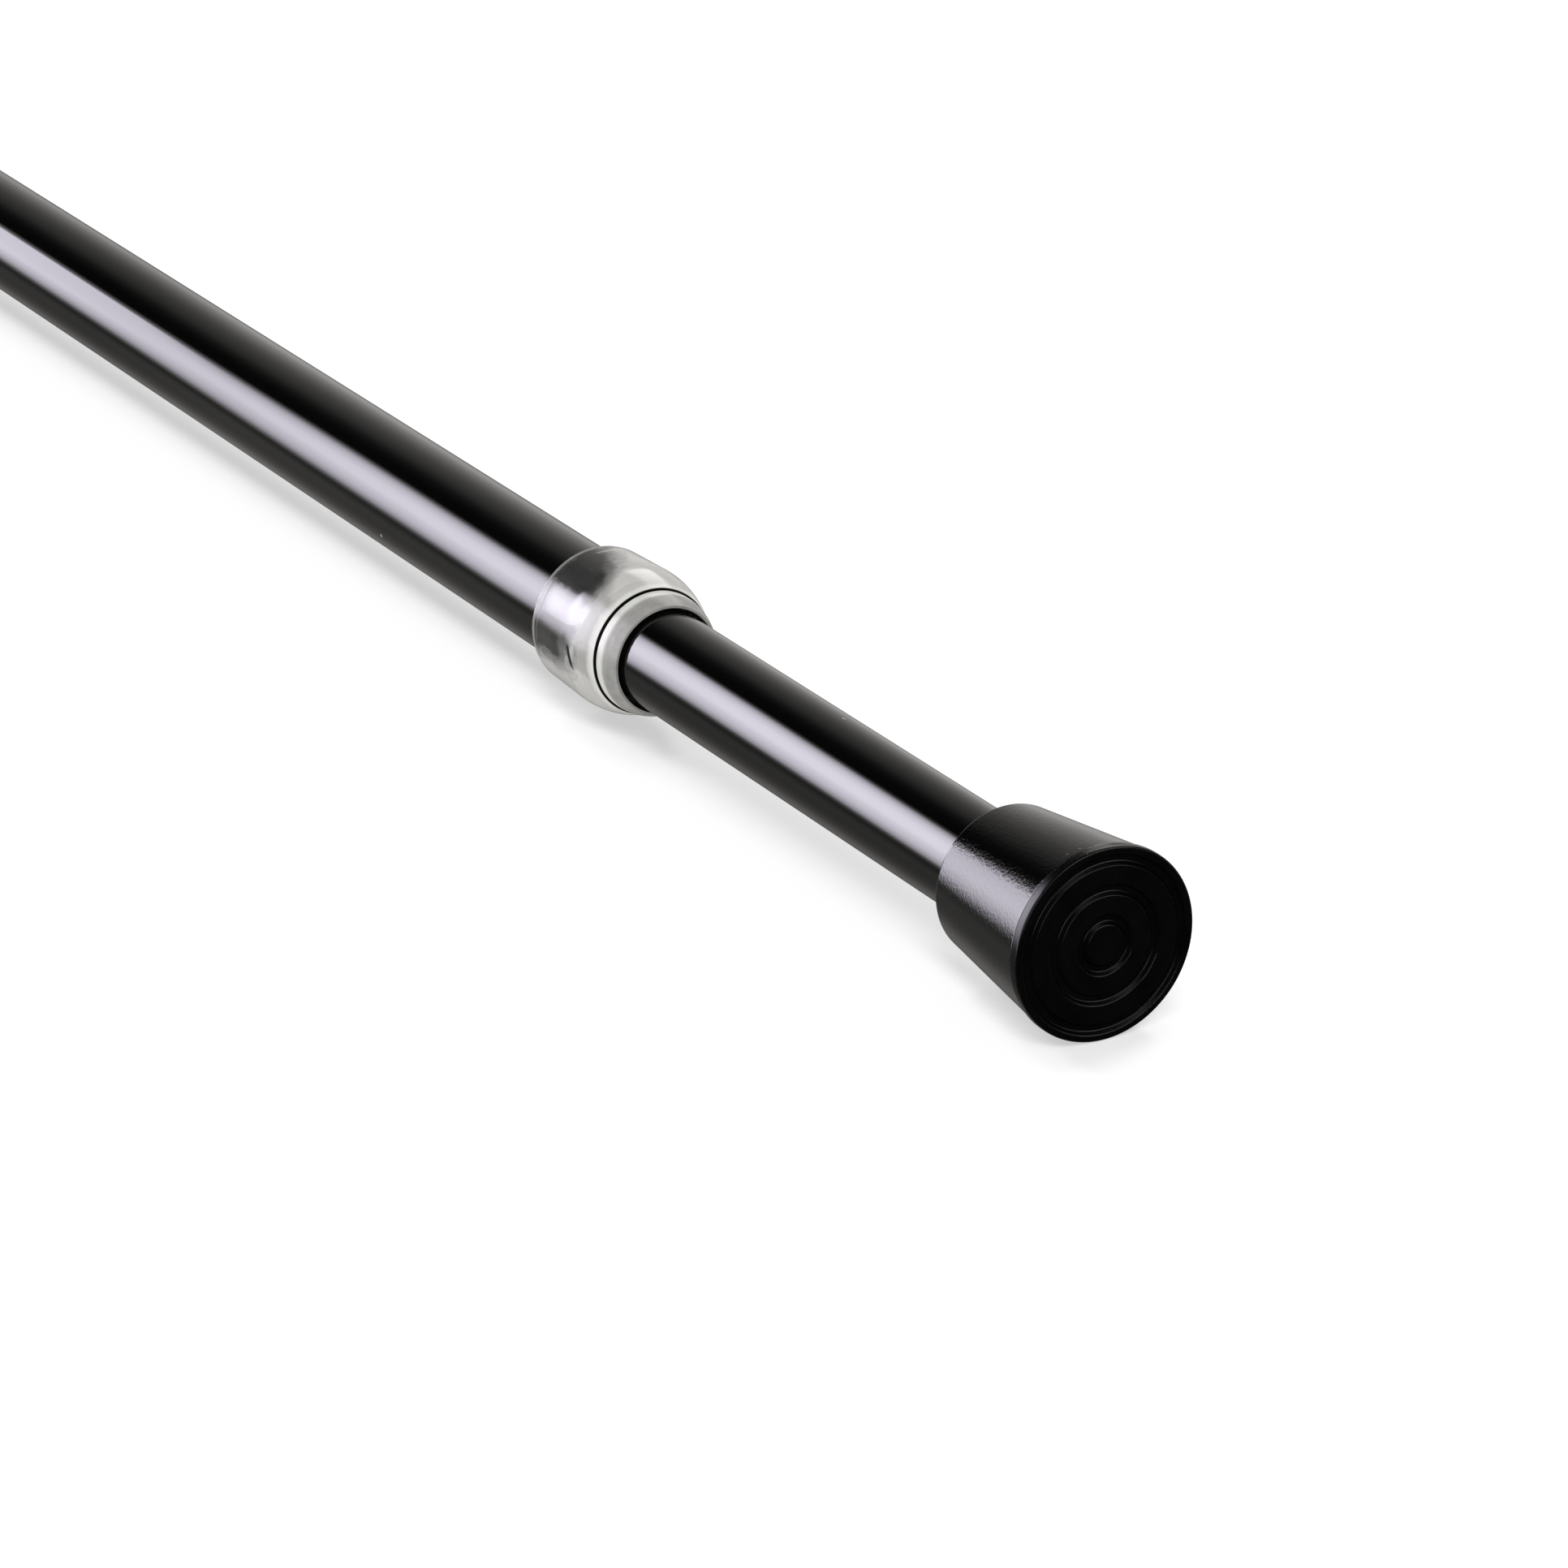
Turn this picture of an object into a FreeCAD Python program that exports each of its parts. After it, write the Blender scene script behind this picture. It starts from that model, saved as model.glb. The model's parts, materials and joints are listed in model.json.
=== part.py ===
import FreeCAD, Part
import math
import os

# Spring tension rod: two telescoping painted tubes with a clear collar and rubber-faced end caps.
# Millimetres. +X runs along the rod from the fixed wall face to the sliding end, +Z is up.
# The origin is the centre of the fixed end's wall face.

# Tubes
outer_tube_od = 16.0
outer_tube_length = 263.5
inner_tube_od = 13.3
inner_tube_length = 262.0
tube_wall = 0.5
tube_edge_round = 0.15

# Bare inner tube between the collar and the sliding cap, as the rod is set in the photograph
exposed_length = 82.0

# Clear collar over the front end of the outer tube: a barrel that swells to a crown, a long round
# shoulder down to a slit, and a nose that bends in towards the inner tube
collar_sleeve_length = 12.2
collar_lip_length = 6.9
collar_nose_length = 4.0
collar_crown_length = 11.8
collar_bend_length = 2.2
collar_rear_wall = 1.66
collar_crown_wall = 2.06
collar_shoulder_wall = 0.65
collar_nose_wall = 1.2
collar_tip_wall = 0.3
collar_shoulder_round = 15.5
collar_nose_round = 7.0
collar_edge_round = 0.35
collar_slit_width = 0.35
collar_slit_depth = 0.5
collar_bore_clearance = 0.47
collar_seat_clearance = 0.05

# End caps: a moulded cone with a socket for the tube and a cavity for the rubber pad.
# Both cones are alike, with a mouth that fits over the outer tube, so the rod lies level.
cap_socket_depth = 14.5
cap_web = 2.0
cap_mouth_wall = 1.5
cap_taper = 2.35
cap_front_wall = 2.8
cap_mouth_round = 0.6
cap_edge_round = 0.2
cap_socket_clearance = 0.15
crush_rib_count = 6
crush_rib_radius = 0.5

# Rubber pads: a grooved face, a rim that stands a little proud of the cone, and a plug
pad_rim_thickness = 1.5
pad_overhang = 0.15
pad_plug_length = 4.0
pad_plug_clearance = 0.1
pad_face_round = 0.8
pad_back_round = 0.3
groove_count = 3
groove_pitch = 3.64
groove_inset = 1.6
groove_width = 1.5
groove_floor_width = 0.6
groove_depth = 0.6
groove_round = 0.25

# Rolled grooves that hold the bush and the spring stop inside the inner tube
crimp_width = 3.2
crimp_floor = 1.2
crimp_depth = 0.45
crimp_round = 0.6
plug_clearance = 0.05

# Plunger: a steel rod with two flats, a clip and a spring seat
rod_diameter = 6.0
rod_flats = 4.8
rod_tip_diameter = 5.0
rod_tip_flats = 4.0
rod_tip_relief = 0.2
rod_fit = 0.08
bush_length = 10.0
bush_flange = 1.5
clip_thickness = 0.8
clip_diameter = 9.4
clip_groove_depth = 0.6
clip_mouth = 3.2
clip_fit = 0.05
stop_gap = 0.2
seat_thickness = 3.0
seat_running_gap = 0.4
spigot_length = 3.0

# Compression spring inside the inner tube, and how far it lets the inner tube be pushed in
spring_length = 62.0
spring_travel = 28.0
spring_travel_margin = 2.0
spring_wire = 1.3
spring_outer_diameter = 10.6
spring_turns = 11
spring_seat_gap = 0.05
spring_guide_gap = 0.2
stop_length = 12.0

# Twist lock: an eccentric core on the rod's tip turns inside a split ring and jams it in the tube
cam_eccentricity = 0.6
cam_journal_diameter = 8.8
cam_journal_length = 12.0
cam_core_flange = 3.0
cam_flange_diameter = 13.0
cam_ring_gap = 0.3
cam_ring_fit = 0.1
cam_ring_end_gap = 0.2
cam_ring_split = 2.0
cam_rib_count = 4
cam_rib_groove_width = 1.0
cam_rib_groove_depth = 0.4
cam_washer_diameter = 11.6
cam_washer_thickness = 1.0
screw_diameter = 3.0
screw_length = 8.0
screw_hole_clearance = 0.05
screw_head_diameter = 5.6
screw_head_height = 2.2
screw_head_round = 0.9
screw_slot_width = 0.9
screw_slot_length = 3.2
screw_slot_depth = 1.2

# Radii and places that follow from the sizes above
outer_radius = outer_tube_od / 2
outer_bore = outer_radius - tube_wall
inner_radius = inner_tube_od / 2
inner_bore = inner_radius - tube_wall
cap_length = pad_rim_thickness + pad_plug_length + cap_web + cap_socket_depth
seat_depth = cap_length - cap_socket_depth
outer_tube_start = seat_depth
outer_tube_end = outer_tube_start + outer_tube_length
nose_face = outer_tube_end + collar_lip_length
collar_bore = inner_radius + collar_bore_clearance
cap_mouth = outer_radius + cap_mouth_wall
cap_front = cap_mouth + cap_taper
cap_cavity = cap_front - cap_front_wall
pad_rim = cap_front + pad_overhang
sliding_face = nose_face + exposed_length + cap_length
inner_tube_end = sliding_face - seat_depth
inner_tube_start = inner_tube_end - inner_tube_length
bush_end = inner_tube_start + bush_length
clip_start = bush_end + stop_gap
seat_start = clip_start + clip_thickness
seat_face = seat_start + seat_thickness
stop_face = seat_face + spring_length
stop_end = stop_face + stop_length
bush_crimp = inner_tube_start + bush_length / 2
stop_crimp = stop_face + stop_length / 2
plug_radius = inner_bore - plug_clearance
core_end = inner_tube_start - bush_flange - spring_travel - spring_travel_margin
core_start = core_end - cam_core_flange - cam_journal_length
spigot_radius = spring_outer_diameter / 2 - spring_wire - spring_guide_gap
AXIS = FreeCAD.Vector(1, 0, 0)
ORIGIN = FreeCAD.Vector(0, 0, 0)

# The share of a side that one rounding may take: nearly half where both its ends are rounded
shared_side = 0.49
whole_side = 0.98
flattest_corner = math.radians(89.5)


def on_profile(x, r):
    """A point of a turned profile, drawn below the axis so that the seams of turned faces lie underneath."""
    return FreeCAD.Vector(x, 0, -r)


def side_share(next_radius):
    """How much of a side a rounding may take, by the rounding at the side's other end."""
    return shared_side if next_radius > 0 else whole_side


def rounded_corner(points, rounds, i):
    """The tangent points and the middle of the arc that rounds one corner, or None if it stays sharp."""
    following = (i + 1) % len(points)
    corner = points[i]
    back = points[i - 1] - corner
    ahead = points[following] - corner
    half = back.getAngle(ahead) / 2
    if rounds[i] <= 0 or half > flattest_corner:
        return None
    room = min(back.Length * side_share(rounds[i - 1]), ahead.Length * side_share(rounds[following]))
    reach = min(rounds[i] / math.tan(half), room)
    radius = reach * math.tan(half)
    back.normalize()
    ahead.normalize()
    towards = back + ahead
    towards.normalize()
    middle = corner + towards * (radius / math.sin(half) - radius)
    return corner + back * reach, middle, corner + ahead * reach


def turned(corners):
    """A solid turned about the rod's axis from (x, r) or (x, r, rounding) corners of a closed outline."""
    points = [on_profile(c[0], c[1]) for c in corners]
    rounds = [c[2] if len(c) > 2 else 0 for c in corners]
    count = len(points)
    arcs = [rounded_corner(points, rounds, i) for i in range(count)]
    edges = []
    for i in range(count):
        leave = arcs[i][2] if arcs[i] else points[i]
        following = (i + 1) % count
        arrive = arcs[following][0] if arcs[following] else points[following]
        if arcs[i]:
            edges.append(Part.Arc(*arcs[i]).toShape())
        edges.append(Part.LineSegment(leave, arrive).toShape())
    face = Part.Face(Part.Wire(edges))
    return face.revolve(ORIGIN, AXIS, 360)


def at_end(face_x, direction, corners):
    """Corners given from a wall face inwards, placed at one end of the rod."""
    return [(face_x + direction * c[0], *c[1:]) for c in corners]


def rod(x_start, x_end, radius, y=0, z=0):
    """A plain cylinder along the rod."""
    return Part.makeCylinder(radius, x_end - x_start, FreeCAD.Vector(x_start, y, z), AXIS)


def block(x_start, x_end, y_width, z_low, z_high):
    """A box along the rod, centred on Y."""
    corner = FreeCAD.Vector(x_start, -y_width / 2, z_low)
    return Part.makeBox(x_end - x_start, y_width, z_high - z_low, corner)


def flatted(x_start, x_end, diameter, flats):
    """A round bar with two flats, top and bottom."""
    return rod(x_start, x_end, diameter / 2).common(block(x_start, x_end, diameter * 2, -flats / 2, flats / 2))


def crimp(place, radius):
    """Corners of a rolled groove in a wall of the given radius, towards +X."""
    low = radius - crimp_depth
    return [
        (place - crimp_width / 2, radius, crimp_round),
        (place - crimp_floor / 2, low, crimp_round),
        (place + crimp_floor / 2, low, crimp_round),
        (place + crimp_width / 2, radius, crimp_round),
    ]


def make_outer_tube():
    start, end = outer_tube_start, outer_tube_end
    return turned([
        (start, outer_radius, tube_edge_round),
        (end, outer_radius, tube_edge_round),
        (end, outer_bore, tube_edge_round),
        (start, outer_bore, tube_edge_round),
    ])


def make_inner_tube():
    start, end = inner_tube_start, inner_tube_end
    outside = crimp(bush_crimp, inner_radius) + crimp(stop_crimp, inner_radius)
    inside = crimp(bush_crimp, inner_bore) + crimp(stop_crimp, inner_bore)
    return turned(
        [(start, inner_radius, tube_edge_round)] + outside
        + [(end, inner_radius, tube_edge_round), (end, inner_bore, tube_edge_round)]
        + inside[::-1] + [(start, inner_bore, tube_edge_round)])


def make_collar():
    rear = outer_tube_end - collar_sleeve_length
    slit = nose_face - collar_nose_length
    seat = outer_radius + collar_seat_clearance
    nose = collar_bore + collar_nose_wall
    slit_floor = nose - collar_slit_depth
    return turned([
        (rear, seat, collar_edge_round),
        (rear, outer_radius + collar_rear_wall, collar_edge_round),
        (rear + collar_crown_length, outer_radius + collar_crown_wall, collar_shoulder_round),
        (slit, outer_radius + collar_shoulder_wall),
        (slit, slit_floor),
        (slit + collar_slit_width, slit_floor),
        (slit + collar_slit_width, nose),
        (slit + collar_bend_length, nose, collar_nose_round),
        (nose_face, collar_bore + collar_tip_wall),
        (nose_face, collar_bore),
        (outer_tube_end, collar_bore),
        (outer_tube_end, seat),
    ])


def make_cap(face_x, direction, tube_od):
    socket = tube_od / 2 + cap_socket_clearance
    cavity_floor = pad_rim_thickness + pad_plug_length
    cap = turned(at_end(face_x, direction, [
        (pad_rim_thickness, cap_cavity, cap_edge_round),
        (pad_rim_thickness, cap_front, cap_edge_round),
        (cap_length, cap_mouth, cap_mouth_round),
        (cap_length, socket, cap_edge_round),
        (seat_depth, socket),
        (seat_depth, 0),
        (cavity_floor, 0),
        (cavity_floor, cap_cavity),
    ]))
    rib_start = face_x + direction * seat_depth
    rib_end = face_x + direction * (cap_length - cap_mouth_round)
    rib_centre = tube_od / 2 + crush_rib_radius
    for i in range(crush_rib_count):
        angle = 2 * math.pi * i / crush_rib_count
        y = rib_centre * math.cos(angle)
        z = rib_centre * math.sin(angle)
        cap = cap.fuse(rod(min(rib_start, rib_end), max(rib_start, rib_end), crush_rib_radius, y, z))
    return cap.removeSplitter()


def make_pad(face_x, direction):
    plug = cap_cavity - pad_plug_clearance
    plug_end = pad_rim_thickness + pad_plug_length - pad_plug_clearance
    face = [(0, 0)]
    for i in reversed(range(groove_count)):
        middle = pad_rim - groove_inset - i * groove_pitch
        face += [
            (0, middle - groove_width / 2, groove_round),
            (groove_depth, middle - groove_floor_width / 2, groove_round),
            (groove_depth, middle + groove_floor_width / 2, groove_round),
            (0, middle + groove_width / 2, groove_round),
        ]
    return turned(at_end(face_x, direction, face + [
        (0, pad_rim, pad_face_round),
        (pad_rim_thickness, pad_rim, pad_back_round),
        (pad_rim_thickness, plug),
        (plug_end, plug, pad_back_round),
        (plug_end, 0),
    ]))


def make_key_bush():
    start = inner_tube_start
    bush = turned(
        [(start - bush_flange, 0), (start - bush_flange, inner_radius, tube_edge_round)]
        + [(start, inner_radius), (start, plug_radius)] + crimp(bush_crimp, plug_radius)
        + [(bush_end, plug_radius, tube_edge_round), (bush_end, 0)])
    key = flatted(start - bush_flange, bush_end, rod_diameter + 2 * rod_fit, rod_flats + 2 * rod_fit)
    return bush.cut(key)


def make_spring_stop():
    return turned(
        [(stop_face - spigot_length, 0), (stop_face - spigot_length, spigot_radius, tube_edge_round)]
        + [(stop_face, spigot_radius), (stop_face, plug_radius)] + crimp(stop_crimp, plug_radius)
        + [(stop_end, plug_radius, tube_edge_round), (stop_end, 0)])


def make_plunger_rod():
    rod_end = seat_face + spigot_length
    tip_start = core_start + rod_tip_relief
    body = flatted(core_end, rod_end, rod_diameter, rod_flats)
    tip = flatted(tip_start, core_end, rod_tip_diameter, rod_tip_flats)
    clip_groove = rod(clip_start, seat_start, rod_diameter)
    clip_groove = clip_groove.cut(rod(clip_start, seat_start, rod_diameter / 2 - clip_groove_depth))
    hole = rod(tip_start, core_start + screw_length, screw_diameter / 2 + screw_hole_clearance)
    return body.fuse(tip).removeSplitter().cut(clip_groove).cut(hole)


def make_rod_clip():
    groove = rod_diameter / 2 - clip_groove_depth + clip_fit
    ring = rod(clip_start, seat_start, clip_diameter / 2).cut(rod(clip_start, seat_start, groove))
    return ring.cut(block(clip_start, seat_start, clip_mouth, 0, clip_diameter))


def make_spring_seat():
    seat = turned([
        (seat_start, 0),
        (seat_start, inner_bore - seat_running_gap, tube_edge_round),
        (seat_face, inner_bore - seat_running_gap, tube_edge_round),
        (seat_face, spigot_radius),
        (seat_face + spigot_length, spigot_radius, tube_edge_round),
        (seat_face + spigot_length, 0),
    ])
    key = flatted(seat_start, seat_face + spigot_length, rod_diameter + 2 * rod_fit, rod_flats + 2 * rod_fit)
    return seat.cut(key)


def make_spring():
    mean_radius = (spring_outer_diameter - spring_wire) / 2
    height = spring_length - spring_wire - 2 * spring_seat_gap
    helix = Part.makeHelix(height / spring_turns, height, mean_radius)
    climb = math.atan2(height / spring_turns, 2 * math.pi * mean_radius)
    heading = FreeCAD.Vector(0, math.cos(climb), math.sin(climb))
    section = Part.Wire(Part.makeCircle(spring_wire / 2, FreeCAD.Vector(mean_radius, 0, 0), heading))
    coil = Part.Wire(helix.Edges).makePipeShell([section], True, True)
    coil.rotate(ORIGIN, FreeCAD.Vector(0, 1, 0), 90)
    coil.translate(FreeCAD.Vector(seat_face + spring_seat_gap + spring_wire / 2, 0, 0))
    return coil


def make_cam_core():
    flange_start = core_start + cam_journal_length
    journal = rod(core_start, flange_start, cam_journal_diameter / 2, 0, cam_eccentricity)
    core = journal.fuse(rod(flange_start, core_end, cam_flange_diameter / 2))
    key = flatted(core_start, core_end, rod_tip_diameter + 2 * rod_fit, rod_tip_flats + 2 * rod_fit)
    return core.removeSplitter().cut(key)


def make_cam_ring():
    start = core_start + cam_ring_end_gap
    end = core_start + cam_journal_length - cam_ring_end_gap
    radius = outer_bore - cam_ring_gap
    ring = rod(start, end, radius)
    pitch = (end - start) / (cam_rib_count + 1)
    for i in range(1, cam_rib_count + 1):
        middle = start + i * pitch
        low, high = middle - cam_rib_groove_width / 2, middle + cam_rib_groove_width / 2
        ring = ring.cut(rod(low, high, radius * 2).cut(rod(low, high, radius - cam_rib_groove_depth)))
    bore = rod(start, end, cam_journal_diameter / 2 + cam_ring_fit, 0, cam_eccentricity)
    return ring.cut(bore).cut(block(start, end, cam_ring_split, 0, radius))


def make_cam_washer():
    start = core_start - cam_washer_thickness
    hole = rod(start, core_start, screw_diameter / 2 + screw_hole_clearance)
    return rod(start, core_start, cam_washer_diameter / 2).cut(hole)


def make_cam_screw():
    under_head = core_start - cam_washer_thickness
    top = under_head - screw_head_height
    screw = turned([
        (top, 0),
        (top, screw_head_diameter / 2, screw_head_round),
        (under_head, screw_head_diameter / 2),
        (under_head, screw_diameter / 2),
        (under_head + screw_length, screw_diameter / 2, tube_edge_round),
        (under_head + screw_length, 0),
    ])
    half = screw_slot_length / 2
    screw = screw.cut(block(top, top + screw_slot_depth, screw_slot_width, -half, half))
    return screw.cut(block(top, top + screw_slot_depth, screw_slot_length, -screw_slot_width / 2, screw_slot_width / 2))


pieces = {
    "outer_tube": make_outer_tube(),
    "tube_collar": make_collar(),
    "fixed_end_cap": make_cap(0, 1, outer_tube_od),
    "fixed_end_pad": make_pad(0, 1),
    "inner_tube": make_inner_tube(),
    "sliding_end_cap": make_cap(sliding_face, -1, inner_tube_od),
    "sliding_end_pad": make_pad(sliding_face, -1),
    "key_bush": make_key_bush(),
    "spring_stop": make_spring_stop(),
    "compression_spring": make_spring(),
    "plunger_rod": make_plunger_rod(),
    "rod_clip": make_rod_clip(),
    "spring_seat": make_spring_seat(),
    "cam_core": make_cam_core(),
    "cam_ring": make_cam_ring(),
    "cam_washer": make_cam_washer(),
    "cam_screw": make_cam_screw(),
}

os.makedirs("parts", exist_ok=True)
for name, shape in pieces.items():
    shape.exportStep("parts/" + name + ".step")
    print(name, "valid" if shape.isValid() else "INVALID", len(shape.Solids), "solid", round(shape.Volume, 2), "mm3")
print("overall length at rest", sliding_face)
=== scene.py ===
import json
import math

import bmesh
import bpy
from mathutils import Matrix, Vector


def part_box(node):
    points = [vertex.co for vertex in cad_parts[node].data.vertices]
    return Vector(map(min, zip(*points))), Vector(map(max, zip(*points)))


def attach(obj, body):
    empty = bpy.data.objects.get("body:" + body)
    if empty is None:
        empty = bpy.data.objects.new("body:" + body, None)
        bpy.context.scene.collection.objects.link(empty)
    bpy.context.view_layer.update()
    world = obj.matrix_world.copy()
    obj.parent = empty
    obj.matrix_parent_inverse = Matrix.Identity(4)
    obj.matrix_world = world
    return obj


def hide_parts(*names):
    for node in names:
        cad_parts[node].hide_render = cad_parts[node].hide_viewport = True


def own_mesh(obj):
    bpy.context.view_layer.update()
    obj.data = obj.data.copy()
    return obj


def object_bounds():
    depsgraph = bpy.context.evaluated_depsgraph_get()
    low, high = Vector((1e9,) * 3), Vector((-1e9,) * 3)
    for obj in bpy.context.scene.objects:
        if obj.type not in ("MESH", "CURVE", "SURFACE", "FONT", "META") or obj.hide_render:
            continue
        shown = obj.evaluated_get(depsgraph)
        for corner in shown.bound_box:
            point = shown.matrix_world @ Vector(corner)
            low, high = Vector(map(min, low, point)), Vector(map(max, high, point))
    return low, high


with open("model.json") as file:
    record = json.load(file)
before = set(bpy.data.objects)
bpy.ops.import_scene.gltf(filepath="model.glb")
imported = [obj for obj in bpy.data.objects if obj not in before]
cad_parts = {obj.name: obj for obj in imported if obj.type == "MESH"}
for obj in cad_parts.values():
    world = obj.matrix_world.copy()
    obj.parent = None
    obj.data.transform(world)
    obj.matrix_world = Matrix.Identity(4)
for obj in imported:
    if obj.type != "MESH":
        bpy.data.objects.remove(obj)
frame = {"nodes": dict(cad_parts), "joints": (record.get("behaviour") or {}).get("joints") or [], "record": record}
cad_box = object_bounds()

# A spring tension rod on a white floor. Metres; +X runs along the rod to its sliding end, +Z is up.
MM = 0.001
MICRON = 0.000001
FULL_TURN = 360
DEGREES = 180 / math.pi
floor_height = cad_box[0].z
sliding_face = cad_box[1].x
rod_middle = (cad_box[0] + cad_box[1]) / 2
outer_tube_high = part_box("outer_tube")[1]
outer_tube_end = outer_tube_high.x
outer_tube_radius = outer_tube_high.z
collar_low, collar_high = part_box("tube_collar")
collar_rim = collar_low.x
cap_low, cap_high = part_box("sliding_end_cap")
spring_low, spring_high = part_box("compression_spring")

# Camera, measured from the centre of the sliding end's face
camera_from_face = Vector((0.49809, -0.32743, 0.26318))
camera_yaw = math.radians(150.203)
camera_dip = math.radians(22.246)
camera_lens_mm = 131.2
camera_sensor_mm = 36.0
camera_near = 10 * MM

# Spring inside the inner tube
spring_wire_radius = 0.65 * MM
spring_turns = 11
spring_steps_per_turn = 48
spring_wire_sides = 12

# A band has four limits: where it starts, is full, is still full and ends.
# Turns on the collar are degrees from -Y towards -Z.
# Clear collar: its slit near the nose, painted black inside as shade
slit_start = collar_high.x - 4.0 * MM
slit_end = slit_start + 0.35 * MM
slit_edge = 0.02 * MM
slit_places = (slit_start - slit_edge, slit_start, slit_end, slit_end + slit_edge)
slit_radius = 8.62 * MM
slit_floor = 0.1 * MM

# Clear collar: painted shade over its seat that dims the tube and the reflections seen through it, and black
# patches where the seat touches the tube and looks black, which also paint shade on the barrel.
# A contact has a first and last turn, and a start and end along the rod
seat_radius = outer_tube_radius + 0.05 * MM
seat_within, seat_beyond = seat_radius + 0.1 * MM, seat_radius + 0.25 * MM
seat_shade, seat_shade_spread = 0.55, 0.3
collar_contact_shade = [
    (-89, -44, collar_rim + 0.1 * MM, collar_rim + 7.7 * MM),
    (-8, 13, collar_rim + 0.4 * MM, collar_rim + 6.4 * MM),
]
contact_edge_turn = 1
contact_edge = 0.1 * MM
contact_tear_turn = 22
contact_tear = 3.2 * MM
contact_shade_share, contact_shade_flow_share = 0.76, 0.34

# Clear collar: a leaning crack in its barrel
crack_x = outer_tube_end - 1.5 * MM
crack_turns = (-9, -5, 7, 15)
crack_lean = 0.055 * MM
crack_width = 0.5 * MM
crack_core = 0.3 * crack_width

# Clear collar: how milky it is at the tube's end, below, behind, at its rim and where it stands free.
# Below and behind, the milky zones also paint reflected light; the edge of the zone behind leans along the rod
milk_front_from, milk_front_to = outer_tube_end - 2.6 * MM, outer_tube_end + 0.8 * MM
milk_and_reflection_below_turns = (8, 26, 105, 130)
milk_and_reflection_behind_turns = (-54, -84)
milk_and_reflection_behind_lean = 3.5 / MM
milk_and_reflection_behind_end = (-135, -105)
milk_rim_from, milk_rim_to = collar_rim + 0.9 * MM, collar_rim + 0.6 * MM
milk_free_from = outer_tube_end + 0.6 * MM
milk_free_tear = 0.8 * MM
milk_everywhere, milk_front, milk_and_reflection_below, milk_and_reflection_behind = 0.03, 0.42, 0.5, 0.6
milk_limit = 0.65
milk_rim = 0.3
milk_free, milk_free_flow = 0.82, 0.16
streak_per_degree = 0.01 * MM

# Sliding cap's cone at its mouth
cap_mouth_radius = 9.5 * MM

# Dust specks: node, distance from its end at +X, angle from +Y towards +Z, size
dust_specks = [
    ("outer_tube", 61.3 * MM, -159.0, 0.32 * MM),
    ("inner_tube", 53.6 * MM, 79.5, 0.28 * MM),
    ("sliding_end_cap", 1.17 * MM, 108.7, 0.15 * MM),
    ("sliding_end_cap", 0.93 * MM, 100.9, 0.13 * MM),
]
tube_dust_grey, tube_dust_roughness = 0.32, 0.5
cap_dust_grey, cap_dust_roughness = 0.12, 0.4

# Refraction of the plastics and the enamel
plain_ior = 1.5
clear_ior = 1.49

# Studio round the rod: a softbox on one side, a dark gap above it, pale walls behind and a dim floor.
# Angle from +Y towards +Z, and radiance as a share of the softbox's strength
softbox_strength = 10.1
softbox_tint = (1.03, 0.985, 1.12, 1.0)
wall_tint = (1.03, 1.0, 0.97, 1.0)
studio_levels = [
    (-180, 0.62),
    (-170, 0.29),
    (-164, 0.07),
    (-157, 0.017),
    (-145, 0.026),
    (-125, 0.02),
    (-105, 0.023),
    (-85, 0.031),
    (-65, 0.025),
    (-48, 0.012),
    (-38, 0.02),
    (-20, 0.05),
    (-4, 0.088),
    (20, 0.07),
    (45, 0.042),
    (70, 0.022),
    (84, 0.0075),
    (100, 0.0014),
    (115, 0.001),
    (119, 0.03),
    (125, 0.3),
    (131, 0.63),
    (140, 0.88),
    (154, 1.0),
    (166, 0.87),
    (180, 0.62),
]
# The softbox turns up behind the fixed end, its upper edge most where the sliding cap sees it,
# and grows brighter towards the sliding end
softbox_turn = 6.5
softbox_turn_from, softbox_turn_to = -1.4, -1.6
edge_turn = 5.0
edge_turn_from, edge_turn_to = -1.7, -2.0
edge_turn_angles = (60, 90, 145, 170)
softbox_gain_place = -1.28
softbox_gain_per_metre = 0.62
softbox_gain_least, softbox_gain_most = 0.6, 1.06
softbox_shares = (0.06, 0.2)
wall_gain = 0.87
# Far behind the fixed end the softbox is even and sharp-edged, and the walls are dimmer
far_from, far_to = -1.9, -2.1
far_shares = (0.25, 0.5)
far_angles = (60, 90, 165, 180)
far_share = 0.9
far_wall_gain = 0.7
# Beyond the sliding end, in front of the pad, the studio is a dim hall
hall_from, hall_to = 0.4, 0.6
hall_level = 0.003
# Smaller soft lights: level, band of angles and band of places along the rod.
# Two are in the hall, overhead and at the side. The third is behind the rod and shows in other views
hall_overhead_light = (0.3, (5, 50, 85, 135), (0.8, 0.95, 1.6, 1.75))
hall_side_light = (0.25, (118, 126, 172, 180), (1.3, 1.5, 2.6, 2.9))
back_light = (0.4, (30, 38, 60, 68), (-1.1, -0.9, 0.2, 0.4))
tunnel_radius = 1.2
tunnel_half_length = 4.0
tunnel_sides = 128
floor_half_size = 6.0
floor_albedo = 0.1
floor_glow = 0.54
world_light = 1.0

# Lamps above the rod that light only the floor: degrees from straight up towards +X and +Y,
# and the level that each gives the floor
floor_lamps = [
    (-45, -34, 0.09),
    (-30, -26, 0.02),
    (30, -26, 0.09),
    (45, -26, 0.11),
    (-30, -10, 0.08),
    (-10, 20, 0.05),
    (-20, 40, 0.14),
]
floor_lamp_spread = 16

# Places of the colour sockets on a Mix node
MIX_SHARE, MIX_FIRST, MIX_SECOND, MIX_RESULT = 0, 6, 7, 2


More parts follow.
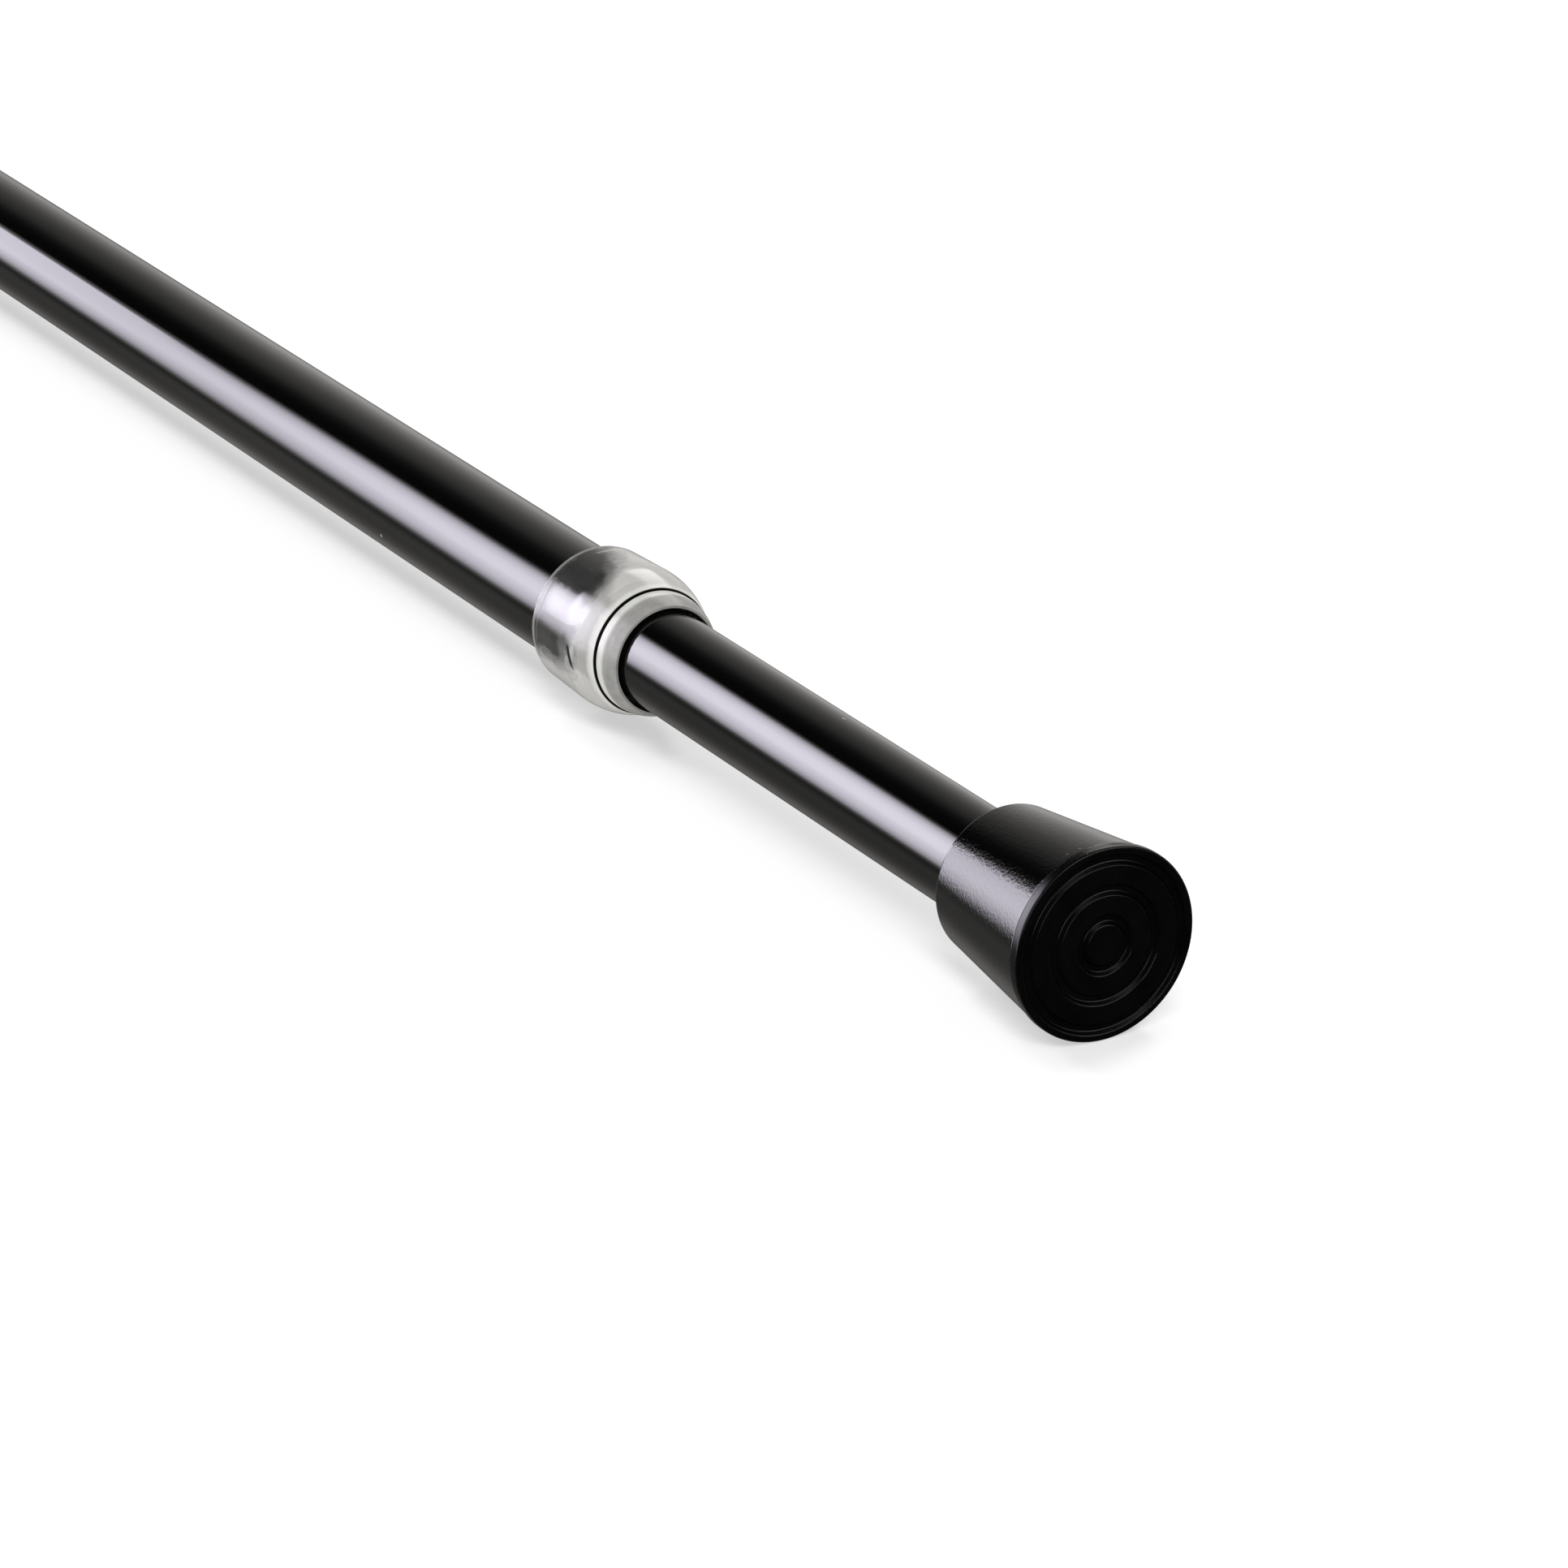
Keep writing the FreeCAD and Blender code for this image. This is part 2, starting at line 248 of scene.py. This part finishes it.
class Field:
    """One socket of a node tree. Arithmetic on it adds Math nodes."""

    def __init__(self, tree, socket):
        self.tree = tree
        self.socket = socket

    def other(self, output):
        """Another output of the same node."""
        return Field(self.tree, self.socket.node.outputs[output])

    def math(self, operation, *values):
        return self.tree.node("ShaderNodeMath", {"operation": operation}, values)

    def __add__(self, value):
        return self.math("ADD", self, value)

    def __radd__(self, value):
        return self.math("ADD", value, self)

    def __sub__(self, value):
        return self.math("SUBTRACT", self, value)

    def __rsub__(self, value):
        return self.math("SUBTRACT", value, self)

    def __mul__(self, value):
        return self.math("MULTIPLY", self, value)

    def __rmul__(self, value):
        return self.math("MULTIPLY", value, self)

    def __truediv__(self, value):
        return self.math("DIVIDE", self, value)

    def __pow__(self, value):
        return self.math("POWER", self, value)

    def least(self, value):
        return self.math("MINIMUM", self, value)

    def most(self, value):
        return self.math("MAXIMUM", self, value)

    def rise(self, low, high):
        """0 below low, 1 above high, with a smooth step between; falls where low is above high."""
        settings = {"interpolation_type": "SMOOTHSTEP"}
        if low < high:
            return self.tree.node("ShaderNodeMapRange", settings, [self, low, high, 0.0, 1.0])
        return self.tree.node("ShaderNodeMapRange", settings, [self, high, low, 1.0, 0.0])

    def band(self, limits):
        """1 between the two middle limits, with a smooth rise before them and a fall after."""
        low, full, still_full, high = limits
        return self.rise(low, full) * self.rise(high, still_full)


class Tree:
    """The node tree of a finish, of a stage piece or of the world."""

    def __init__(self, owner):
        owner.use_nodes = True
        self.nodes = owner.node_tree.nodes
        self.links = owner.node_tree.links
        self.nodes.clear()

    def node(self, kind, settings=None, inputs=(), output=0):
        """A new node: its settings first, then its inputs by place or by name. Gives one of its outputs."""
        made = self.nodes.new(kind)
        for name, value in (settings or {}).items():
            setattr(made, name, value)
        pairs = inputs.items() if isinstance(inputs, dict) else enumerate(inputs)
        for place, value in pairs:
            if isinstance(value, Field):
                self.links.new(value.socket, made.inputs[place])
            else:
                made.inputs[place].default_value = value
        return Field(self, made.outputs[output]) if made.outputs else None

    def curve(self, value, points):
        """A smooth curve through the points, from 0 to 1 both ways."""
        shaped = self.node("ShaderNodeFloatCurve", None, {"Value": value})
        mapping = shaped.socket.node.mapping
        line = mapping.curves[0].points
        line[0].location, line[1].location = points[0], points[-1]
        for place, level in points[1:-1]:
            line.new(place, level)
        for point in line:
            point.handle_type = "AUTO_CLAMPED"
        mapping.update()
        return shaped

    def place(self):
        """The point on the piece, in the rod's own frame."""
        return self.node("ShaderNodeTexCoord", output="Object")

    def parts(self, vector):
        x = self.node("ShaderNodeSeparateXYZ", None, [vector])
        return x, x.other("Y"), x.other("Z")

    def bearing(self, across, up):
        """The angle of a direction in degrees, from across towards up."""
        return self.node("ShaderNodeMath", {"operation": "ARCTAN2"}, [up, across]) * DEGREES

    def distance(self, first, second):
        settings = {"operation": "DISTANCE"}
        return self.node("ShaderNodeVectorMath", settings, [first, second], output="Value")

    def product(self, first, second):
        """Two vectors or colours multiplied part by part."""
        return self.node("ShaderNodeVectorMath", {"operation": "MULTIPLY"}, [first, second])

    def noise(self, vector, size, detail=2.0, roughness=0.5):
        """Noise from 0 to 1 with features of about that size in metres."""
        return self.node("ShaderNodeTexNoise", None, {
            "Vector": vector,
            "Scale": 1 / size,
            "Detail": detail,
            "Roughness": roughness,
        })

    def tinted(self, share, first, second):
        """A colour that goes from the first to the second as share goes from 0 to 1."""
        sockets = {MIX_SHARE: share, MIX_FIRST: first, MIX_SECOND: second}
        return self.node("ShaderNodeMix", {"data_type": "RGBA"}, sockets, output=MIX_RESULT)

    def bumped(self, height, depth):
        """A normal from a height field of the given depth in metres."""
        return self.node("ShaderNodeBump", None, {"Strength": 1.0, "Distance": depth, "Height": height})

    def principled(self, inputs):
        return self.node("ShaderNodeBsdfPrincipled", None, inputs)

    def mixed(self, share, first, second):
        """A shader that goes from the first to the second as share goes from 0 to 1."""
        return self.node("ShaderNodeMixShader", None, [share, first, second])

    def surface(self, shader):
        self.node("ShaderNodeOutputMaterial", None, {"Surface": shader})


def edged(start, end, edge):
    """The limits of a band from start to end whose ends are soft by an edge to each side."""
    return start - edge, start + edge, end - edge, end + edge


def grey(level):
    return (level, level, level, 1.0)


def new_finish(name):
    material = bpy.data.materials.new(name)
    return material, Tree(material)


def around(x, angle_deg, radius):
    """A point at an angle round the rod's axis."""
    angle = math.radians(angle_deg)
    return Vector((x, radius * math.cos(angle), radius * math.sin(angle)))


def speck_mask(tree, place, node, radius_at):
    """1 on the dust specks that lie on one piece, or None where it has none."""
    mask = None
    for owner, from_end, angle, size in dust_specks:
        if owner != node:
            continue
        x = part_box(node)[1].x - from_end
        reach = tree.distance(place, around(x, angle, radius_at(x)))
        ragged = reach + (tree.noise(place, size, 3.0) - 0.5) * size
        spot = ragged.rise(size, size * 0.5)
        mask = spot if mask is None else mask.most(spot)
    return mask


def tube_enamel(node):
    """High-gloss black enamel: faint orange peel, a dust speck, lengthwise wiping marks."""
    material, tree = new_finish("enamel_" + node)
    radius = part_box(node)[1].z
    place = tree.place()
    cloud = tree.noise(place, 22 * MM, 3.0)
    wiped = tree.noise(tree.product(place, (0.06, 1.0, 1.0)), 0.9 * MM, 3.0)
    peel = tree.noise(place, 0.9 * MM, 2.0)
    dust = speck_mask(tree, place, node, lambda x: radius)
    base = tree.tinted(cloud, grey(0.0008), grey(0.0018))
    roughness = 0.03 + 0.02 * cloud + 0.02 * wiped
    if dust is not None:
        base = tree.tinted(dust, base, grey(tube_dust_grey))
        roughness = roughness + tube_dust_roughness * dust
    tree.surface(tree.principled({
        "Base Color": base,
        "Roughness": roughness,
        "Specular IOR Level": 0.5,
        "IOR": plain_ior,
        "Normal": tree.bumped(peel + 0.35 * wiped, 1.2 * MICRON),
    }))
    return material


def cone_radius(x):
    """Radius of the sliding cap's cone at a place along the rod."""
    share = (x - cap_low.x) / (cap_high.x - cap_low.x)
    return cap_mouth_radius + share * (cap_high.z - cap_mouth_radius)


def cap_moulding(node):
    """Glossy black moulded plastic with a fine skin that breaks up the edge of a highlight."""
    material, tree = new_finish("moulding_" + node)
    place = tree.place()
    skin = tree.noise(place, 0.4 * MM, 3.0, 0.6)
    sink = tree.noise(place, 6.0 * MM, 1.0)
    dust = speck_mask(tree, place, node, cone_radius)
    base = tree.tinted(skin, grey(0.0006), grey(0.0014))
    roughness = 0.02 + 0.015 * skin + 0.01 * sink
    if dust is not None:
        base = tree.tinted(dust, base, grey(cap_dust_grey))
        roughness = roughness + cap_dust_roughness * dust
    tree.surface(tree.principled({
        "Base Color": base,
        "Roughness": roughness,
        "Specular IOR Level": 0.5,
        "IOR": plain_ior,
        "Normal": tree.bumped(skin + 0.5 * sink, 26.0 * MICRON),
    }))
    return material


def pad_rubber():
    """Black rubber: fine grain, a slight bloom and a low sheen."""
    material, tree = new_finish("pad_rubber_black")
    place = tree.place()
    grain = tree.noise(place, 0.2 * MM, 3.0, 0.65)
    bloom = tree.noise(place, 3.5 * MM, 4.0)
    tree.surface(tree.principled({
        "Base Color": tree.tinted(bloom * grain, grey(0.0003), grey(0.005)),
        "Roughness": 0.15 + 0.08 * grain + 0.04 * bloom,
        "Specular IOR Level": 0.17,
        "IOR": plain_ior,
        "Normal": tree.bumped(grain, 6.0 * MICRON),
    }))
    return material


def collar_darkness(x, turn, radius, ragged, flow):
    """How black the collar looks: painted shade over its seat, black contact patches there that also paint shade,
    painted shade in the slit, and the crack.
    """
    seat = radius.rise(seat_beyond, seat_within)
    torn_turn = turn + (ragged - 0.5) * contact_tear_turn
    torn_x = x + (ragged - 0.5) * contact_tear
    # Painted shade: the whole seat is mixed part black, dimming the tube and the reflections seen through it
    dark = seat * (seat_shade + seat_shade_spread * (ragged - 0.5))
    # Black patches where the seat touches the black tube: painted shade in place of the reflections there
    for first_turn, last_turn, start, end in collar_contact_shade:
        patch = seat * torn_turn.band(edged(first_turn, last_turn, contact_edge_turn))
        patch = patch * torn_x.band(edged(start, end, contact_edge))
        dark = dark.most(patch * (contact_shade_share + contact_shade_flow_share * flow))
    # Painted shade: the slit's walls and floor are black
    slit = x.band(slit_places) * radius.rise(slit_radius, slit_radius - slit_floor)
    off_crack = x - crack_x - crack_lean * turn
    crack = off_crack.math("ABSOLUTE", off_crack).rise(crack_width, crack_core) * turn.band(crack_turns)
    return dark.most(slit).most(crack)


def collar_milkiness(x, turn, ragged, flow):
    """How far the collar is milky and not clear; below and behind, the milky zones also paint reflected light."""
    torn_turn = turn + (ragged - 0.5) * contact_tear_turn
    torn_x = x + (ragged - 0.5) * contact_tear
    front = torn_x.rise(milk_front_from, milk_front_to)
    # Below and behind: milky plastic that also paints reflected light
    below = torn_turn.band(milk_and_reflection_below_turns)
    leaned_turn = torn_turn + milk_and_reflection_behind_lean * (outer_tube_end - x)
    behind = leaned_turn.rise(*milk_and_reflection_behind_turns) * torn_turn.rise(*milk_and_reflection_behind_end)
    rim = x.rise(milk_rim_from, milk_rim_to)
    free = (x + (ragged - 0.5) * milk_free_tear).rise(milk_free_from, slit_start)
    milk = milk_everywhere + milk_front * front + milk_and_reflection_below * below + milk_and_reflection_behind * behind
    milk = milk.least(milk_limit).most(milk_rim * rim)
    return milk.most(free * (milk_free + milk_free_flow * flow))


def collar_clear():
    """Clear moulded plastic: the tube shows through its barrel, and it is milky where it stands free."""
    material, tree = new_finish("collar_clear_plastic")
    place = tree.place()
    x, y, z = tree.parts(place)
    radius = (y * y + z * z) ** 0.5
    turn = tree.bearing(0.0 - y, 0.0 - z)
    flow = tree.noise(tree.product(place, (0.4, 1.0, 1.0)), 1.8 * MM, 3.0)
    ragged = tree.noise(place, 1.5 * MM, 5.0, 0.62)
    unrolled = tree.node("ShaderNodeCombineXYZ", None, [x, radius, turn * streak_per_degree])
    streak = tree.noise(unrolled, 0.3 * MM, 3.0)
    clear = tree.principled({
        "Base Color": tree.tinted(flow, (0.96, 0.96, 0.94, 1.0), (0.99, 0.99, 0.98, 1.0)),
        "Roughness": 0.015 + 0.03 * ragged,
        "IOR": clear_ior,
        "Transmission Weight": 1.0,
        "Normal": tree.bumped(ragged, 2.0 * MICRON),
    })
    milky = tree.principled({
        "Base Color": tree.tinted(streak, (0.62, 0.612, 0.58, 1.0), (0.86, 0.852, 0.82, 1.0)),
        "Roughness": 0.1 + 0.1 * ragged,
        "Specular IOR Level": 0.2,
        "IOR": clear_ior,
    })
    black = tree.principled({
        "Base Color": tree.tinted(ragged, grey(0.002), grey(0.006)),
        "Roughness": 0.3 + 0.2 * ragged,
        "Specular IOR Level": 0.1,
    })
    plastic = tree.mixed(collar_milkiness(x, turn, ragged, flow), clear, milky)
    tree.surface(tree.mixed(collar_darkness(x, turn, radius, ragged, flow), plastic, black))
    return material


def plain_moulding(name, dark, light):
    """Uncoloured moulded plastic of the hidden pieces: flow marks and a dull skin."""
    material, tree = new_finish(name)
    place = tree.place()
    flow = tree.noise(tree.product(place, (0.4, 1.0, 1.0)), 3.0 * MM, 4.0)
    skin = tree.noise(place, 0.25 * MM, 2.0)
    tree.surface(tree.principled({
        "Base Color": tree.tinted(flow, dark, light),
        "Roughness": 0.36 + 0.16 * skin + 0.08 * flow,
        "IOR": plain_ior,
        "Normal": tree.bumped(skin, 4.0 * MICRON),
    }))
    return material


def drawn_steel(name, dark, light, scales):
    """Drawn or plated steel with marks that the scales can stretch along the piece."""
    material, tree = new_finish(name)
    place = tree.place()
    marks = tree.noise(tree.product(place, scales), 0.4 * MM, 4.0, 0.6)
    cloud = tree.noise(place, 5.0 * MM, 3.0)
    tree.surface(tree.principled({
        "Base Color": tree.tinted(cloud, dark, light),
        "Metallic": 1.0,
        "Roughness": 0.2 + 0.18 * marks + 0.1 * cloud,
        "Normal": tree.bumped(marks, 2.5 * MICRON),
    }))
    return material


def paint_frame():
    """Give every CAD piece its finish, by the record's material slots. Gives the spring wire's finish."""
    wire = drawn_steel("steel_spring_wire", grey(0.34), grey(0.46), (1.0, 1.0, 1.0))
    zinc_dark, zinc_light = (0.56, 0.57, 0.6, 1.0), grey(0.68)
    natural_dark, natural_light = (0.68, 0.66, 0.6, 1.0), (0.82, 0.81, 0.76, 1.0)
    cam_dark, cam_light = (0.5, 0.51, 0.52, 1.0), (0.68, 0.69, 0.7, 1.0)
    shared = {
        "pad_rubber": pad_rubber(),
        "clear_plastic": collar_clear(),
        "natural_plastic": plain_moulding("moulding_natural_white", natural_dark, natural_light),
        "cam_plastic": plain_moulding("moulding_cam_grey", cam_dark, cam_light),
        "spring_steel": wire,
        "bright_steel": drawn_steel("steel_zinc_plated", zinc_dark, zinc_light, (0.08, 1.0, 1.0)),
    }
    for row in frame["record"]["subparts"]:
        node = row["node"]
        slot = row["material_slot"]
        if slot == "tube_paint":
            material = tube_enamel(node)
        elif slot == "cap_plastic":
            material = cap_moulding(node)
        else:
            material = shared[slot]
        frame["nodes"][node].material_slots[0].material = material
    return wire


def new_piece(name, mesh, material):
    """A new object in the scene from a finished mesh."""
    data = bpy.data.meshes.new(name)
    mesh.to_mesh(data)
    mesh.free()
    data.materials.append(material)
    piece = bpy.data.objects.new(name, data)
    bpy.context.scene.collection.objects.link(piece)
    return piece


def coil_spring(wire_finish):
    """The coil spring as a swept wire, carried by the inner rod in place of the CAD spring."""
    mean_radius = spring_high.y - spring_wire_radius
    start = spring_low.x + spring_wire_radius
    height = spring_high.x - spring_low.x - 2 * spring_wire_radius
    steps = spring_turns * spring_steps_per_turn
    climb = math.atan2(height / spring_turns, 2 * math.pi * mean_radius)
    mesh = bmesh.new()
    rings = []
    for i in range(steps + 1):
        turn = 2 * math.pi * i / spring_steps_per_turn
        outward = Vector((0, math.sin(turn), -math.cos(turn)))
        backward = Vector((0, -math.cos(turn), -math.sin(turn)))
        sideways = Vector((math.cos(climb), 0, 0)) + backward * math.sin(climb)
        centre = Vector((start + height * i / steps, 0, 0)) + outward * mean_radius
        ring = []
        for k in range(spring_wire_sides):
            side = 2 * math.pi * k / spring_wire_sides
            reach = outward * math.cos(side) + sideways * math.sin(side)
            ring.append(mesh.verts.new(centre + reach * spring_wire_radius))
        rings.append(ring)
    for near, far in zip(rings, rings[1:]):
        for k in range(spring_wire_sides):
            following = (k + 1) % spring_wire_sides
            mesh.faces.new((near[k], near[following], far[following], far[k])).smooth = True
    mesh.faces.new(rings[0])
    mesh.faces.new(rings[-1])
    bmesh.ops.recalc_face_normals(mesh, faces=mesh.faces)
    spring = new_piece("coil_spring", mesh, wire_finish)
    push = next(j for j in frame["joints"] if j["name"] == "spring_push")
    anchor_x = push["deforming_nodes"][0]["fixed_end_x_m"]
    length = anchor_x - spring_low.x
    travel = -push["range_m"][0]
    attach(spring, "inner_rod")
    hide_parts("compression_spring")
    (length - travel) / length
    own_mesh(spring)


def white_floor():
    """A floor that is white to the eye and keeps the rod's soft shadow."""
    material, tree = new_finish("studio_floor")
    matt = tree.node("ShaderNodeBsdfDiffuse", None, {"Color": grey(floor_albedo)})
    glow = tree.node("ShaderNodeEmission", None, {"Color": grey(1.0), "Strength": floor_glow})
    tree.surface(tree.node("ShaderNodeAddShader", None, [matt, glow]))
    material.cycles.emission_sampling = "NONE"
    mesh = bmesh.new()
    corners = []
    for side_x, side_y in [(-1, -1), (1, -1), (1, 1), (-1, 1)]:
        corner_x = rod_middle.x + side_x * floor_half_size
        corners.append(mesh.verts.new((corner_x, side_y * floor_half_size, floor_height)))
    mesh.faces.new(corners)
    floor = new_piece("studio_floor", mesh, material)
    floor.visible_glossy = False
    return floor


def soft_light(x, angle, light):
    """The level of one of the smaller soft lights at a place on the studio's wall."""
    level, angles, places = light
    return level * angle.band(angles) * x.band(places)


def studio_radiance(tree):
    """Colour of the studio's wall, as a share of the softbox's strength."""
    x, y, z = tree.parts(tree.place())
    angle = tree.bearing(y, z)
    edge = x.rise(edge_turn_from, edge_turn_to) * angle.band(edge_turn_angles)
    turned = angle - softbox_turn * x.rise(softbox_turn_from, softbox_turn_to) - edge_turn * edge
    turned = turned / FULL_TURN + 0.5
    points = [(degrees / FULL_TURN + 0.5, share) for degrees, share in studio_levels]
    level = tree.curve(turned.math("FRACT", turned), points)
    far = x.rise(far_from, far_to)
    evened = far * level.rise(*far_shares) * angle.band(far_angles)
    level = level + evened * (far_share - level)
    softbox = level.rise(*softbox_shares)
    gain = 1.0 + softbox_gain_per_metre * (x - softbox_gain_place)
    gain = gain.most(softbox_gain_least).least(softbox_gain_most)
    walls = wall_gain + (far_wall_gain - wall_gain) * far
    level = level * (walls + (gain - walls) * softbox) + soft_light(x, angle, back_light)
    hall = x.rise(hall_from, hall_to)
    in_hall = hall_level + soft_light(x, angle, hall_overhead_light) + soft_light(x, angle, hall_side_light)
    level = level * (1.0 - hall) + in_hall * hall
    return tree.product(level, tree.tinted(softbox, wall_tint, softbox_tint))


def studio_tunnel():
    """What the gloss sees: a softbox on one side, a dark ceiling and pale walls, all along the rod."""
    material, tree = new_finish("studio_tunnel")
    wall = {"Color": studio_radiance(tree), "Strength": softbox_strength}
    tree.surface(tree.node("ShaderNodeEmission", None, wall))
    material.cycles.emission_sampling = "NONE"
    mesh = bmesh.new()
    angles = [FULL_TURN * k / tunnel_sides for k in range(tunnel_sides)]
    rings = []
    for end in (-tunnel_half_length, tunnel_half_length):
        rings.append([mesh.verts.new(around(rod_middle.x + end, angle, tunnel_radius)) for angle in angles])
    for k in range(tunnel_sides):
        following = (k + 1) % tunnel_sides
        mesh.faces.new((rings[0][k], rings[0][following], rings[1][following], rings[1][k]))
    for ring in rings:
        mesh.faces.new(ring)
    tunnel = new_piece("studio_tunnel", mesh, material)
    tunnel.visible_camera = False
    tunnel.visible_diffuse = False
    tunnel.visible_shadow = False


def white_world():
    """White to the eye and through the clear collar, and a plain light all round."""
    world = bpy.data.worlds.new("studio_world")
    tree = Tree(world)
    white = tree.node("ShaderNodeBackground", None, {"Color": grey(1.0), "Strength": world_light})
    tree.node("ShaderNodeOutputWorld", None, {"Surface": white})
    bpy.context.scene.world = world


def light_floor(floor):
    """A fan of soft lamps above the rod that light only the floor, for the rod's shadow."""
    lit = bpy.data.collections.new("floor_only")
    lit.objects.link(floor)
    for lean_x, lean_y, level in floor_lamps:
        source = Vector((math.tan(math.radians(lean_x)), math.tan(math.radians(lean_y)), 1.0)).normalized()
        data = bpy.data.lights.new("floor_lamp", "SUN")
        data.angle = math.radians(floor_lamp_spread)
        data.energy = level * math.pi / (floor_albedo * source.z)
        lamp = bpy.data.objects.new("floor_lamp", data)
        lamp.rotation_mode = "QUATERNION"
        lamp.rotation_quaternion = (-source).to_track_quat("-Z", "Y")
        lamp.light_linking.receiver_collection = lit
        bpy.context.scene.collection.objects.link(lamp)


def photo_camera():
    """The camera at the photograph's viewing angle."""
    data = bpy.data.cameras.new("photo_camera")
    data.lens = camera_lens_mm
    data.sensor_width = camera_sensor_mm
    data.clip_start = camera_near
    camera = bpy.data.objects.new("photo_camera", data)
    level = math.cos(camera_dip)
    ahead = Vector((level * math.cos(camera_yaw), level * math.sin(camera_yaw), -math.sin(camera_dip)))
    camera.location = Vector((sliding_face, 0, 0)) + camera_from_face
    camera.rotation_mode = "QUATERNION"
    camera.rotation_quaternion = ahead.to_track_quat("-Z", "Y")
    bpy.context.scene.collection.objects.link(camera)
    bpy.context.scene.camera = camera


spring_finish = paint_frame()
coil_spring(spring_finish)
light_floor(white_floor())
studio_tunnel()
white_world()
photo_camera()
bpy.context.scene.view_settings.view_transform = "Standard"
